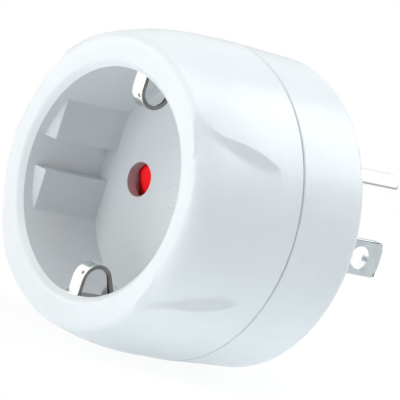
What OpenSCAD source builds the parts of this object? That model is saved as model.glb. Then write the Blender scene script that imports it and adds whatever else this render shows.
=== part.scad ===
// Travel adapter: an earthed round-pin socket in front, a flat-blade plug with a round earth pin behind.
// Millimetres. +Z is up, +Y runs from the socket to the prongs.
// The origin is the centre of the face that the prongs stand on.
// Most pieces are drawn in socket coordinates: x to the right, y up, z the depth behind the front rim.

/* [Housing] */
// Depth from the front rim to the face that the prongs stand on
body_depth = 45; // [43:0.5:50]
// Depth from the front rim to the rear edge of the wide shell
shell_depth = 37; // [34:0.5:39]
// Depth of the seam between the front and rear housings
seam_depth = 22; // [20.5:0.25:24]
// Largest diameter of the shell, at the seam
body_d = 55.6; // [54:0.2:58]
// Diameter of the shell at its rear edge
rear_d = 54.2; // [52:0.2:56]
// Diameter of the collar at the front rim
collar_d = 51.4; // [50.6:0.2:53]
// Depth at which the flare behind the collar reaches full width
flare_depth = 15; // [12:0.5:18]
// Diameter of the round base that carries the prongs
base_d = 31; // [30:0.5:34]
// Wall of the rear housing
rear_wall = 2; // [1.6:0.1:2.4]
// Wall of the socket cup
cup_wall = 1.85; // [1.4:0.05:2]
// Thickness of the collar between the cup and the shell
collar_t = 2.6; // [2:0.1:3.4]
// Thickness of the front shell behind the grips
skirt_wall = 1.7; // [1.4:0.05:1.9]
// Rounding of the collar's outer edge
collar_edge_r = 0.9; // [0.4:0.1:1.4]
// Rounding of the shell's rear edge
rear_edge_r = 1.3; // [0.8:0.1:2.4]
// Length of the lip that plugs the rear housing into the front one
lip_len = 2.5; // [1.5:0.25:3]
// Width of the visible seam
seam_gap = 0.2; // [0.1:0.05:0.4]

/* [Socket] */
// Diameter of the socket recess
recess_d = 39.5; // [39:0.1:40]
// Depth of the socket recess
recess_depth = 17.5; // [17:0.1:18]
// Thickness of the socket floor
floor_t = 1.95; // [1.6:0.05:2.4]
// Width of the slanted edge of the recess mouth
mouth_edge = 1.05; // [0.6:0.05:1.3]
// Distance between the two flats that guide the plug
flat_gap = 34.2; // [34:0.1:36]
// Width of the groove between the guide blocks
groove_w = 5.4; // [4.6:0.1:6]
// Depth of the front of the guide blocks at the flat
block_front = 3.3; // [2.6:0.1:5]
// Distance between the pin holes
pin_pitch = 19; // [18.8:0.1:19.2]
// Diameter of the pin holes
pin_hole_d = 6; // [5.4:0.1:6.2]
// Diameter of the pins that the contacts take
pin_d = 4.8; // [4.6:0.05:4.9]
// Length of those pins behind the socket floor
pin_len = 19; // [18.5:0.25:19.25]

/* [Grips] */
// Radius of the grip floor on each flank, behind the rolled edge
grip_r = 25.3; // [25.1:0.1:25.4]
// Length of the rolled front edge of each flank
grip_roll_len = 4.2; // [3:0.1:5]
// Width of that rolled edge on the front ring
grip_roll_w = 2.1; // [1.6:0.1:2.6]
// Depth at which the grip floor has risen to the shell
grip_end = 16.5; // [15.5:0.25:18]
// Height of the grip edge above the middle line, where the flare ends
grip_edge_y = 12.9; // [12:0.2:15]
// Lean of the grip walls towards the front
grip_lean = 13.8; // [10:0.1:16]
// Tilt of the grip walls out of the upright
grip_tilt = 5; // [2:0.5:8]
// Height of the grip's front corner on the collar
grip_corner_y = 17.9; // [17:0.1:19]
// Lean of the facet at that corner
corner_lean = 25.8; // [24:0.2:28]
// Tilt of that facet
corner_tilt = 26.2; // [24:0.2:28]

/* [Plug] */
// Distance between the two flat blades
blade_pitch = 12.7; // [12.5:0.05:12.9]
// Width of a blade
blade_w = 6.35; // [6.2:0.05:6.5]
// Thickness of a blade
blade_t = 1.5; // [1.4:0.05:1.6]
// Length of a blade in front of its face
blade_len = 17.1; // [15.5:0.1:18]
// Height of the blades from the middle line
blade_y = -3.1; // [-3.6:0.1:-2.8]
// Diameter of the hole in a blade
blade_hole_d = 3.96; // [3:0.02:4.2]
// Distance of that hole from the face
blade_hole_at = 11.9; // [11.5:0.1:12.2]
// Diameter of the round earth pin
ground_d = 4.75; // [4.6:0.01:4.9]
// Length of the earth pin
ground_len = 20.6; // [19:0.1:21.4]
// Height of the earth pin above the blades
ground_rise = 11.9; // [11.8:0.05:12]

/* [Earth clips] */
// Width of the clip strip
clip_w = 2.7; // [2.2:0.1:3.2]
// Thickness of the clip sheet
clip_t = 0.7; // [0.5:0.05:0.8]
// Distance between the two clip arches
clip_gap = 27.8; // [26:0.1:28]
// Depth of the front leg of the arch
clip_front = 2.4; // [2:0.1:2.8]
// Outer radius of the arch
arch_r = 3.3; // [3:0.05:3.6]
// Slant of the rear leg of the arch
arch_slant = 30; // [20:1:40]
// Room for each clip to bend outward
clip_travel = 2; // [1.8:0.05:2.1]

/* [Shutter] */
// Thickness of the shutter at its flat side
rotor_t = 2.8; // [2.6:0.1:3.2]
// Gap between the socket floor and the shutter
rotor_gap = 0.4; // [0.2:0.05:0.5]
// Radius of the shutter
rotor_r = 13; // [12.7:0.1:13.2]
// Radius of the shutter hub
hub_r = 4.4; // [4.2:0.1:5]
// Half of the angle that one shutter lobe covers
lobe_half = 20.5; // [19:0.5:24]
// Slope of the ramp on each lobe
ramp_angle = 23; // [18:1:26]
// Radius of the shutter axle
axle_r = 1.25; // [1:0.05:1.4]
// Thickness of the plate behind the shutter
cover_t = 1.4; // [1:0.1:1.8]

/* [Contacts] */
// Wall of the contact sleeves
sleeve_wall = 0.68; // [0.5:0.02:0.8]
// Length of the solid root of a sleeve, behind its slits
sleeve_root = 2.4; // [1.8:0.1:3]
// Width of the steel ring round a sleeve
ring_w = 2; // [1.4:0.1:2.4]
// Height of the tab that joins a sleeve to its link
tab_w = 3.6; // [3:0.1:4.4]
// Length of a link along the pins
link_len = 2.4; // [2:0.1:3]
// Thickness of the links and of the earth strap
strip_t = 0.8; // [0.6:0.05:1]
// Width of the earth strap
strap_w = 6; // [4:0.2:7]
// Wall of the carrier round each contact
carrier_wall = 1; // [0.8:0.1:1.4]
// Thickness of the plate that holds the prongs down
prong_plate_t = 1.6; // [1.2:0.1:1.8]

/* [Fixings] */
// Distance of the housing screws from the middle, sideways
screw_x = 14.6; // [14:0.1:15]
// Distance of the housing screws from the middle, upright
screw_y = 12.4; // [12:0.1:13]
// Diameter of the housing screws
screw_d = 3; // [2.6:0.1:3.2]
// Diameter of the housing screw heads
screw_head_d = 5.2; // [4.6:0.1:5.6]
// Distance of the cover screws from the middle, both ways
cover_screw_at = 11.6; // [11.4:0.1:12.2]
// Diameter of the cover screws
cover_screw_d = 1.8; // [1.4:0.1:2]

/* [Clearances] */
// Gap between stacked inner pieces
gap = 0.2; // [0.1:0.05:0.3]
// Running and sliding clearance of pins in holes
fit = 0.05; // [0.03:0.01:0.1]

/* [Hidden] */
$fn = 96;
// Overlap that joins two solids of one piece
eps = 0.02;
// Overshoot of a cutter past the face that it opens
over = 1;

recess_r = recess_d / 2;
body_r = body_d / 2;
collar_r = collar_d / 2;
rear_r = rear_d / 2;
base_r = base_d / 2;
cup_r = recess_r + cup_wall;
skirt_r = grip_r - skirt_wall;
floor_back = recess_depth + floor_t;
pin_x = pin_pitch / 2;
pin_end = recess_depth + pin_len;

// The lip of the rear housing and the register that takes it
lip_fit = 0.1;
lip_t = 1.2;
lip_set = 2.2;
lip_r = body_r - lip_set;
lip_relief_wall = 0.8;
lip_in_r = lip_r - lip_t;
lip_top = seam_depth - lip_len;
seam_chamfer = 0.2;
rear_in_r = rear_r - rear_wall;
base_in_r = base_r - rear_wall;
base_root_r = 1;
inner_bevel = 1;
base_edge_r = 0.8;

// Depths of the inner stack, from the socket floor backwards
rotor_front = floor_back + rotor_gap;
rotor_back = rotor_front + rotor_t;
cover_front = rotor_back + gap;
cover_back = cover_front + cover_t;
strap_front = cover_back + gap;
strap_back = strap_front + strip_t;
plate_front = strap_back + gap;
plate_t = 1.8;
face_back = body_depth - rear_wall;
shell_in = shell_depth - rear_wall;

// Earth clips: the leg stands outside the cup and the arch reaches in through a slot
leg_in = cup_r + gap;
leg_out = leg_in + clip_t;
leg_mid = leg_in + clip_t / 2;
leg_bend_r = 0.9;
arch_mid_r = arch_r - clip_t / 2;
arch_depth = clip_front + arch_r;
arch_y = clip_gap / 2 + arch_r;
front_leg_z = clip_front + clip_t / 2;
slot_w = clip_w + 1.1;
slot_front = clip_front - 0.35;
pocket_y = leg_out + clip_travel;
rear_leg_dir = [sin(arch_slant), cos(arch_slant)];
rear_leg_start = [arch_depth + arch_mid_r * cos(arch_slant), arch_y - arch_mid_r * sin(arch_slant)];
rear_leg_top = cup_r - 0.9;
rear_leg_end = rear_leg_start + rear_leg_dir * (rear_leg_top - rear_leg_start[1]) / rear_leg_dir[1];
slot_back = rear_leg_end[0] + 1.5;
ear_t = 0.7;
ear_len = 2;

// Shutter
chamber_r = rotor_r + gap;
chamber_wall = 1.2;
cover_r = chamber_r + chamber_wall;
spring_wire_r = 0.25;
spring_r = (axle_r + hub_r) / 2;
spring_room = spring_wire_r + 0.35;
spring_turns = 3;
spring_pitch = 0.6;
spring_leg_r = hub_r - 0.3;
spring_start = rotor_front + rotor_t / 2;
spring_end = spring_start + spring_turns * spring_pitch;
ramp_start_y = -1.2;

// Contacts and prongs
seat_gap = 0.1;
end_play = 0.02;
sleeve_in_r = pin_d / 2 + 0.02;
sleeve_r = sleeve_in_r + sleeve_wall;
sleeve_front = plate_front + 0.25;
ring_t = 0.45;
ring_set = 1.6;
pocket_r = sleeve_r + ring_t + 0.35;
tab_t = 0.7;
tab_root = 1;
tab_out_x = pin_x - sleeve_in_r - 0.03;
tab_in_x = tab_out_x - tab_t;
blade_x = blade_pitch / 2;
blade_out_x = blade_x + blade_t / 2;
blade_in_x = blade_x - blade_t / 2;
blade_low_y = blade_y - blade_w / 2;
ground_y = blade_y + ground_rise;
link_in_x = max(tab_out_x, blade_out_x) + end_play;
flange_t = 1.8;
flange_reach = 1.2;
plate_back_z = face_back - flange_t - seat_gap;
prong_plate_front = plate_back_z - prong_plate_t;
link_back = prong_plate_front - gap;
link_front = link_back - link_len;
link_mid = (link_front + link_back) / 2;
sleeve_set = 2.6;
sleeve_back = min(pin_end, link_front) - sleeve_set;
ring_front = min(sleeve_front + ring_set, sleeve_back - tab_root - gap - ring_w);
ring_back = ring_front + ring_w;
slit_end = sleeve_back - sleeve_root;
pocket_back = max(slit_end, ring_back) + 2 * gap;
carrier_back = min(shell_in, link_front) - gap;
tail_top_y = blade_y + 1.7;
tab_low_y = tail_top_y + 0.5;
tab_high_y = tab_low_y + tab_w;
shoulder_extra = 1;
shank_r = ground_d / 2 - 0.375;
root_r = ground_d / 2 + 0.5;
root_taper = 0.15;
root_rise = 0.2;
stub_r = 1.2;
post_at = [4.2, -9.6];
post_r = 1.6;

// Fixings
boss_r = screw_d / 2 + 1.5;
pillar_r = screw_head_d / 2 + 1.4;
head_t = 1.6;
counterbore = head_t + 0.3;
screw_hole_from = floor_back + 2;
screw_tip = screw_hole_from + 1;
pillar_t = counterbore + 2;
boss_end = shell_depth - pillar_t - gap;
screw_spots = [[-screw_x, screw_y], [screw_x, -screw_y]];
cover_spots = [[cover_screw_at, cover_screw_at], [-cover_screw_at, -cover_screw_at]];
cover_head_t = 0.8;
cover_head_r = cover_screw_d / 2 + 0.8;
cover_boss_r = cover_screw_d / 2 + 1.5;
cover_ear_r = cover_screw_d / 2 + 1.7;
screw_room = 0.15;
head_room = 0.2;
cross_depth = 0.9;

function arc(cx, cy, r, from, to, n) =
    [for (i = [0:n]) let (a = from + (to - from) * i / n) [cx + r * cos(a), cy + r * sin(a)]];

// Outer radius of the shell between the collar and full width
function flare_at(z) = body_r - (body_r - collar_r) * pow((flare_depth - z) / (flare_depth - collar_edge_r), 2);

// Places socket coordinates in the part's frame
module in_socket() {
    translate([0, -body_depth, 0]) rotate([-90, 0, 0]) mirror([0, 1, 0]) children();
}

module both_sides() {
    children();
    mirror([1, 0, 0]) children();
}

module both_heights() {
    children();
    mirror([0, 1, 0]) children();
}

module disc(r, from, to) {
    translate([0, 0, from]) cylinder(r = r, h = to - from);
}

module block(x, y, z) {
    translate([x[0], y[0], z[0]]) cube([x[1] - x[0], y[1] - y[0], z[1] - z[0]]);
}

// A closed tube along a path that stays nearly square to the depth axis
module swept_wire(path, r, sides) {
    last = len(path) - 1;
    points = [for (i = [0:last])
        let (ahead = path[min(i + 1, last)] - path[max(i - 1, 0)],
             t = ahead / norm(ahead),
             side = cross([0, 0, 1], t) / norm(cross([0, 0, 1], t)),
             rise = cross(t, side))
        for (k = [0:sides - 1]) path[i] + r * (side * cos(360 * k / sides) + rise * sin(360 * k / sides))];
    walls = [for (i = [0:last - 1]) for (k = [0:sides - 1])
        let (a = i * sides + k, b = i * sides + (k + 1) % sides)
        [a, b, b + sides, a + sides]];
    caps = [[for (k = [sides - 1:-1:0]) k], [for (k = [0:sides - 1]) last * sides + k]];
    polyhedron(points = points, faces = concat(walls, caps));
}

// Front housing

front_profile = concat(
    [[0, recess_depth], [recess_r, recess_depth]],
    [[recess_r, mouth_edge], [recess_r + mouth_edge, 0]],
    arc(collar_r - collar_edge_r, collar_edge_r, collar_edge_r, 270, 360, 5),
    [for (i = [1:8]) let (z = collar_edge_r + (flare_depth - collar_edge_r) * i / 8) [flare_at(z), z]],
    [[body_r, seam_depth - seam_gap / 2 - seam_chamfer],
     [body_r - seam_chamfer, seam_depth - seam_gap / 2],
     [lip_r + lip_fit, seam_depth - seam_gap / 2],
     [lip_r + lip_fit, lip_top - gap],
     [skirt_r, lip_top - gap - (lip_r + lip_fit - skirt_r)],
     [skirt_r, collar_t], [cup_r, collar_t], [cup_r, floor_back], [0, floor_back]]);

module guide_block() {
    slant = 1.1;
    outer = recess_r + cup_wall / 2;
    difference() {
        intersection() {
            disc(outer, 0, floor_back - eps);
            translate([0, recess_r, 0]) rotate([90, 0, 0]) linear_extrude(recess_d)
                polygon([[flat_gap / 2, block_front], [outer + over, block_front - slant],
                         [outer + over, recess_depth + eps], [flat_gap / 2, recess_depth + eps]]);
        }
        block([flat_gap / 2 - over, outer + over], [-groove_w / 2, groove_w / 2], [0, floor_back]);
    }
}

// Everything beyond a plane that leans and tilts, through a point at height y on radius r
module beyond(r, y, z, lean, tilt, up) {
    translate([sqrt(r * r - y * y), up * y, z]) rotate([0, lean, up * tilt])
        translate([0, -body_d, -body_d]) cube(2 * body_d);
}

module grip_cut() {
    rise = (body_r - grip_r) / (grip_end - grip_roll_len);
    far = body_r + 3 * over;
    cut_end = grip_end + over / rise;
    roll_turn = 78;
    roll_steps = 7;
    roll = [for (i = [0:roll_steps]) let (a = -90 + roll_turn * i / roll_steps)
        [grip_r - grip_roll_w + grip_roll_w * cos(a), grip_roll_len * (1 + sin(a))]];
    for (up = [-1, 1]) intersection() {
        rotate_extrude() polygon(concat(
            [[far, -over], [grip_r - grip_roll_w, -over]], roll,
            [[grip_r, grip_roll_len], [body_r + over, cut_end], [far, cut_end]]));
        beyond(body_r, grip_edge_y, flare_depth, grip_lean, grip_tilt, up);
        rotate([0, 0, up * 90]) block([-eps, 2 * far], [-far, far], [-over, cut_end]);
    }
    // A facet softens the corner where grip wall and collar meet
    for (up = [-1, 1]) intersection() {
        rotate([0, 0, up * 90]) block([grip_edge_y, 2 * far], [-far, far], [-over, flare_depth / 2]);
        beyond(collar_r, grip_corner_y, collar_edge_r, corner_lean, corner_tilt, up);
    }
}

module clip_slot() {
    block([-slot_w / 2, slot_w / 2], [recess_r - over, pocket_y], [slot_front, slot_back]);
    block([-slot_w / 2, slot_w / 2], [leg_in - eps, pocket_y], [slot_front, seam_depth]);
}

module front_housing() {
    color("white") in_socket() difference() {
        union() {
            rotate_extrude() polygon(front_profile);
            both_sides() guide_block();
            difference() {
                disc(cover_r, floor_back - eps, cover_front - fit);
                disc(chamber_r, floor_back - over, cover_front);
            }
            for (p = cover_spots) translate(p) disc(cover_boss_r, floor_back - eps, cover_front - fit);
            for (p = screw_spots) translate(p) disc(boss_r, floor_back - eps, boss_end);
        }
        both_sides() grip_cut();
        both_heights() clip_slot();
        both_sides() translate([pin_x, 0]) disc(pin_hole_d / 2, recess_depth - over, floor_back + eps);
        disc(chamber_r, floor_back, cover_front);
        disc(axle_r + fit, recess_depth + floor_t / 2, floor_back + over);
        for (p = cover_spots) translate(p) disc(cover_screw_d / 2 + fit, floor_back, cover_front + over);
        for (p = screw_spots) translate(p) disc(screw_d / 2 + fit, screw_hole_from, boss_end + over);
    }
}

// Rear housing

rear_profile = concat(
    [[lip_in_r, lip_top], [lip_r, lip_top], [lip_r, seam_depth + seam_gap / 2],
     [body_r - seam_chamfer, seam_depth + seam_gap / 2],
     [body_r, seam_depth + seam_gap / 2 + seam_chamfer]],
    arc(rear_r - rear_edge_r, shell_depth - rear_edge_r, rear_edge_r, 0, 90, 6),
    arc(base_r + base_root_r, shell_depth + base_root_r, base_root_r, 270, 180, 4),
    arc(base_r - base_edge_r, body_depth - base_edge_r, base_edge_r, 0, 90, 4),
    [[0, body_depth], [0, face_back], [base_in_r, face_back], [base_in_r, shell_in],
     [rear_in_r - inner_bevel, shell_in], [rear_in_r, shell_in - inner_bevel],
     [lip_in_r, seam_depth + lip_t + inner_bevel]]);

module rear_housing() {
    color("whitesmoke") in_socket() difference() {
        union() {
            rotate_extrude() polygon(rear_profile);
            for (p = screw_spots) translate(p) disc(pillar_r, shell_depth - pillar_t, shell_depth - eps);
        }
        both_heights() block([-slot_w / 2, slot_w / 2],
                             [lip_in_r - over, min(pocket_y, body_r - lip_relief_wall)],
                             [lip_top - over, strap_back + gap]);
        both_sides() block([blade_in_x - fit, blade_out_x + fit],
                           [blade_low_y - fit, blade_low_y + blade_w + fit], [face_back - over, body_depth + over]);
        translate([0, ground_y]) disc(root_r + fit, face_back - over, body_depth + over);
        for (p = screw_spots) translate(p) {
            disc(screw_d / 2 + screw_room, shell_depth - pillar_t - over, shell_depth + over);
            disc(screw_head_d / 2 + head_room, shell_depth - counterbore, shell_depth + over);
        }
    }
}

// Shutter: two lobes on a hub, each with a ramp that a pin pushes aside

module lobe() {
    difference() {
        rotate([0, 0, -lobe_half]) rotate_extrude(angle = 2 * lobe_half)
            translate([hub_r - 0.6, rotor_front]) square([rotor_r - hub_r + 0.6, rotor_t]);
        translate([0, ramp_start_y, rotor_front]) rotate([ramp_angle, 0, 0])
            block([0, rotor_r + over], [-1, rotor_r + over], [-rotor_t, 0]);
    }
}

module shutter() {
    color("red") in_socket() difference() {
        union() {
            disc(hub_r, rotor_front, rotor_back);
            lobe();
            rotate([0, 0, 180]) lobe();
        }
        disc(axle_r + fit, rotor_front - over, rotor_back + over);
        difference() {
            disc(spring_r + spring_room, spring_start - spring_room, rotor_back + over);
            disc(spring_r - spring_room, 0, rotor_back + 2);
        }
        block([spring_r, hub_r + over], [-spring_room, spring_room],
              [spring_start - spring_room, rotor_back + over]);
    }
}

module shutter_axle() {
    color("silver") in_socket() disc(axle_r, recess_depth + floor_t / 2 + 0.05, cover_back - 0.1);
}

module shutter_spring() {
    steps = 20;
    turn = [for (i = [0:steps * spring_turns])
        [spring_r * cos(360 * i / steps), spring_r * sin(360 * i / steps), spring_start + spring_pitch * i / steps]];
    color("lightsteelblue") in_socket()
        swept_wire(concat([[spring_leg_r, 0, spring_start]], turn, [[spring_leg_r, 0, spring_end]]), spring_wire_r, 6);
}

module shutter_cover() {
    color("gainsboro") in_socket() difference() {
        union() {
            disc(cover_r, cover_front, cover_back);
            for (p = cover_spots) translate(p) disc(cover_ear_r, cover_front, cover_back);
        }
        disc(axle_r + fit, cover_front - over, cover_back + over);
        both_sides() translate([pin_x, 0])
            disc(pin_hole_d / 2 + seat_gap, cover_front - over, cover_back + over);
        for (p = cover_spots) translate(p)
            disc(cover_screw_d / 2 + fit, cover_front - over, cover_back + over);
        difference() {
            disc(spring_r + spring_room, cover_front - over, spring_end + spring_room);
            disc(spring_r - spring_room, 0, cover_back + over);
        }
        block([spring_r, spring_leg_r + spring_room], [-spring_room, spring_room],
              [cover_front - over, spring_end + spring_room]);
    }
}

module cover_screws() {
    color("silver") in_socket() for (p = cover_spots) translate(p) {
        disc(cover_screw_d / 2, floor_back + 0.4, cover_back + eps);
        disc(cover_head_r, cover_back, cover_back + cover_head_t);
    }
}

// Earth parts

// Path of one clip as [point, normal], in depth and height: leg, bend, arch and rear leg
clip_path = concat(
    [[[strap_back, leg_mid], [0, 1]]],
    [for (i = [0:5]) let (a = 90 + 90 * i / 5, n = [cos(a), sin(a)])
        [[front_leg_z + leg_bend_r, leg_mid - leg_bend_r] + leg_bend_r * n, n]],
    [for (i = [0:15]) let (a = 180 + (180 - arch_slant) * i / 15, n = [cos(a), sin(a)])
        [[arch_depth, arch_y] + arch_mid_r * n, n]],
    [[rear_leg_end, [cos(arch_slant), -sin(arch_slant)]]]);

module earth_clip() {
    half = clip_t / 2;
    outer = [for (step = clip_path) step[0] + half * step[1]];
    inner = [for (i = [len(clip_path) - 1:-1:0]) clip_path[i][0] - half * clip_path[i][1]];
    translate([-clip_w / 2, 0, 0]) multmatrix([[0, 0, 1, 0], [0, 1, 0, 0], [1, 0, 0, 0], [0, 0, 0, 1]])
        linear_extrude(clip_w) polygon(concat(outer, inner));
}

module earth_clip_top() {
    color("silver") in_socket() earth_clip();
}

module earth_clip_bottom() {
    color("silver") in_socket() mirror([0, 1, 0]) earth_clip();
}

module earth_strap() {
    reach = leg_in - fit;
    color("goldenrod") in_socket() difference() {
        union() {
            block([-strap_w / 2, strap_w / 2], [-reach, reach], [strap_front, strap_back]);
            both_heights() block([-clip_w / 2, clip_w / 2], [reach - ear_t, reach],
                                 [strap_front - ear_len, strap_back]);
        }
        translate([0, ground_y]) disc(stub_r + end_play, strap_front - over, strap_back + over);
    }
}

module ground_prong() {
    nose_r = 1;
    end = body_depth + ground_len;
    color("silver") in_socket() translate([0, ground_y]) {
        rotate_extrude() polygon(concat(
            [[0, strap_front], [stub_r, strap_front], [stub_r, strap_back + seat_gap],
             [shank_r, strap_back + seat_gap],
             [shank_r, plate_back_z + seat_gap], [ground_d / 2 + flange_reach, plate_back_z + seat_gap],
             [ground_d / 2 + flange_reach, face_back - end_play], [root_r, face_back - end_play],
             [root_r, body_depth], [ground_d / 2 + root_taper, body_depth],
             [ground_d / 2, body_depth + root_rise]],
            arc(ground_d / 2 - nose_r, end - nose_r, nose_r, 0, 90, 6),
            [[0, end]]));
    }
}

// Live parts, drawn for the right-hand side and mirrored for the left

module blade() {
    end = body_depth + blade_len;
    corner_r = 1.2;
    crown_r = 12;
    tip_lead = 0.4;
    difference() {
        intersection() {
            block([blade_in_x, blade_out_x], [blade_low_y - shoulder_extra, blade_low_y + blade_w + shoulder_extra],
                  [link_front + seat_gap, end]);
            union() {
                block([0, pin_x], [blade_low_y, blade_low_y + blade_w], [face_back - eps, end - corner_r * 2]);
                block([0, pin_x], [blade_low_y, tail_top_y], [link_front, face_back]);
                block([0, pin_x], [blade_low_y - shoulder_extra, blade_low_y + blade_w + shoulder_extra],
                      [plate_back_z + seat_gap, face_back - end_play]);
                intersection() {
                    translate([0, blade_y, end - crown_r]) rotate([0, 90, 0]) cylinder(r = crown_r, h = pin_x);
                    union() {
                        for (s = [-1, 1]) translate([0, blade_y + s * (blade_w / 2 - corner_r), end - corner_r * 1.3])
                            rotate([0, 90, 0]) cylinder(r = corner_r, h = pin_x);
                        block([0, pin_x], [blade_low_y, blade_low_y + blade_w],
                              [end - corner_r * 3, end - corner_r * 1.3]);
                        block([0, pin_x], [blade_low_y + corner_r, blade_low_y + blade_w - corner_r],
                              [end - corner_r * 3, end]);
                    }
                }
            }
        }
        translate([0, blade_y, body_depth + blade_hole_at]) rotate([0, 90, 0]) cylinder(d = blade_hole_d, h = pin_x);
        rivet_bore(tail_rivet);
        for (s = [-1, 1]) translate([blade_x + s * blade_t / 2, 0, end]) rotate([0, -s * 15, 0])
            block(s > 0 ? [-tip_lead, 1] : [-1, tip_lead], [-body_r, body_r], [-1.6, 1]);
    }
}

tab_rivet = [tab_in_x, link_in_x + strip_t, (tab_low_y + tab_high_y) / 2];
tail_rivet = [blade_in_x, link_in_x + strip_t, (blade_low_y + tail_top_y) / 2];
rivet_r = 0.6;
rivet_head_r = 1;
rivet_head_t = 0.45;

module rivet_bore(r) {
    translate([r[0] - over, r[2], link_mid]) rotate([0, 90, 0]) cylinder(r = rivet_r + 0.02, h = r[1] - r[0] + 2);
}

module rivet(r) {
    translate([0, r[2], link_mid]) rotate([0, 90, 0]) {
        disc(rivet_r, r[0] - eps, r[1] + eps);
        disc(rivet_head_r, r[0] - rivet_head_t, r[0]);
        disc(rivet_head_r, r[1], r[1] + rivet_head_t);
    }
}

module receptacle() {
    slit = 0.8;
    mouth = 0.8;
    difference() {
        union() {
            translate([pin_x, 0]) disc(sleeve_r, sleeve_front, sleeve_back);
            block([tab_in_x, tab_out_x], [tab_low_y, tab_high_y], [sleeve_back - tab_root, link_back]);
        }
        translate([pin_x, 0]) disc(sleeve_in_r, sleeve_front - over, pin_end + over);
        translate([pin_x, 0, sleeve_front - eps])
            cylinder(r1 = sleeve_r - 0.1, r2 = sleeve_in_r - 0.1, h = mouth);
        translate([pin_x, 0]) for (a = [45, 135]) rotate([0, 0, a])
            block([-sleeve_r - over, sleeve_r + over], [-slit / 2, slit / 2], [sleeve_front - over, slit_end]);
        rivet_bore(tab_rivet);
    }
}

module contact_spring() {
    split = 1.2;
    translate([pin_x, 0]) difference() {
        disc(sleeve_r + ring_t, ring_front, ring_back);
        disc(sleeve_r + end_play, ring_front - over, ring_back + over);
        block([0, sleeve_r + over], [-split / 2, split / 2], [ring_front - over, ring_back + over]);
    }
}

module link() {
    difference() {
        block([link_in_x, link_in_x + strip_t], [blade_low_y + 0.4, tab_high_y], [link_front, link_back]);
        rivet_bore(tab_rivet);
        rivet_bore(tail_rivet);
    }
}

module line_blade() {
    color("silver") in_socket() blade();
}

module neutral_blade() {
    color("silver") in_socket() mirror([1, 0, 0]) blade();
}

module line_receptacle() {
    color("gold") in_socket() receptacle();
}

module neutral_receptacle() {
    color("gold") in_socket() mirror([1, 0, 0]) receptacle();
}

module line_contact_spring() {
    color("slategray") in_socket() contact_spring();
}

module neutral_contact_spring() {
    color("slategray") in_socket() mirror([1, 0, 0]) contact_spring();
}

module line_link() {
    color("gold") in_socket() link();
}

module neutral_link() {
    color("gold") in_socket() mirror([1, 0, 0]) link();
}

module contact_rivets() {
    color("peru") in_socket() both_sides() {
        rivet(tab_rivet);
        rivet(tail_rivet);
    }
}

// Carrier of the live contacts: a band between the screw bosses, two pockets and two posts

module contact_carrier() {
    band_w = 7;
    band_len = 2 * norm([screw_x, screw_y]);
    ear_r = boss_r + 1.6;
    color("dimgray") in_socket() difference() {
        union() {
            translate([0, 0, plate_front]) linear_extrude(plate_t) union() {
                rotate([0, 0, -atan2(screw_y, screw_x)]) square([band_len, band_w], center = true);
                for (p = screw_spots) translate(p) circle(r = ear_r);
                translate([-post_at[0] - post_r, post_at[1] - post_r])
                    square([2 * (post_at[0] + post_r), post_r - post_at[1]]);
            }
            both_sides() translate([pin_x, 0]) disc(pocket_r + carrier_wall, plate_front, carrier_back);
            block([-pin_x, pin_x], [-band_w / 4, band_w / 4], [plate_front, carrier_back]);
            both_sides() translate(post_at) disc(post_r, plate_front, prong_plate_front - seat_gap);
        }
        both_sides() translate([pin_x, 0]) {
            disc(pocket_r, plate_front - over, pocket_back);
            disc(sleeve_r + fit, plate_front, carrier_back + over);
        }
        both_sides() block([tab_in_x - seat_gap, tab_out_x + seat_gap], [tab_low_y - seat_gap, tab_high_y + seat_gap],
                           [sleeve_back - tab_root - seat_gap, carrier_back + over]);
        for (p = screw_spots) translate(p) disc(boss_r + fit, plate_front - over, plate_front + plate_t + over);
    }
}

// Plate that presses the shoulders of the prongs against the inside of the base

module prong_plate() {
    slot = 0.1;
    color("darkslategray") in_socket() difference() {
        disc(base_in_r - gap, prong_plate_front, plate_back_z);
        both_sides() block([blade_in_x - slot, blade_out_x + slot], [blade_low_y - slot, tail_top_y + slot],
                           [prong_plate_front - over, plate_back_z + over]);
        translate([0, ground_y]) disc(shank_r + fit, prong_plate_front - over, plate_back_z + over);
    }
}

module housing_screws() {
    slot_len = screw_head_d * 0.55;
    slot_t = 0.8;
    color("silver") in_socket() for (p = screw_spots) translate(p) difference() {
        union() {
            disc(screw_d / 2, screw_tip, shell_depth - counterbore + eps);
            disc(screw_head_d / 2, shell_depth - counterbore, shell_depth - counterbore + head_t);
        }
        for (a = [0, 90]) rotate([0, 0, a])
            block([-slot_len / 2, slot_len / 2], [-slot_t / 2, slot_t / 2],
                  [shell_depth - counterbore + head_t - cross_depth, shell_depth]);
    }
}

front_housing();
rear_housing();
shutter();
shutter_axle();
shutter_spring();
shutter_cover();
cover_screws();
earth_clip_top();
earth_clip_bottom();
earth_strap();
ground_prong();
line_blade();
neutral_blade();
line_receptacle();
neutral_receptacle();
line_contact_spring();
neutral_contact_spring();
line_link();
neutral_link();
contact_rivets();
contact_carrier();
prong_plate();
housing_screws();
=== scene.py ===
"""Looks of a travel adapter: a socket for round pins in front, a flat-blade plug behind."""

import logging
import math
from collections.abc import Mapping, Sequence
from dataclasses import dataclass
from enum import Enum

import bmesh
import bpy
import numpy as np
from mathutils import Matrix, Vector


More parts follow.
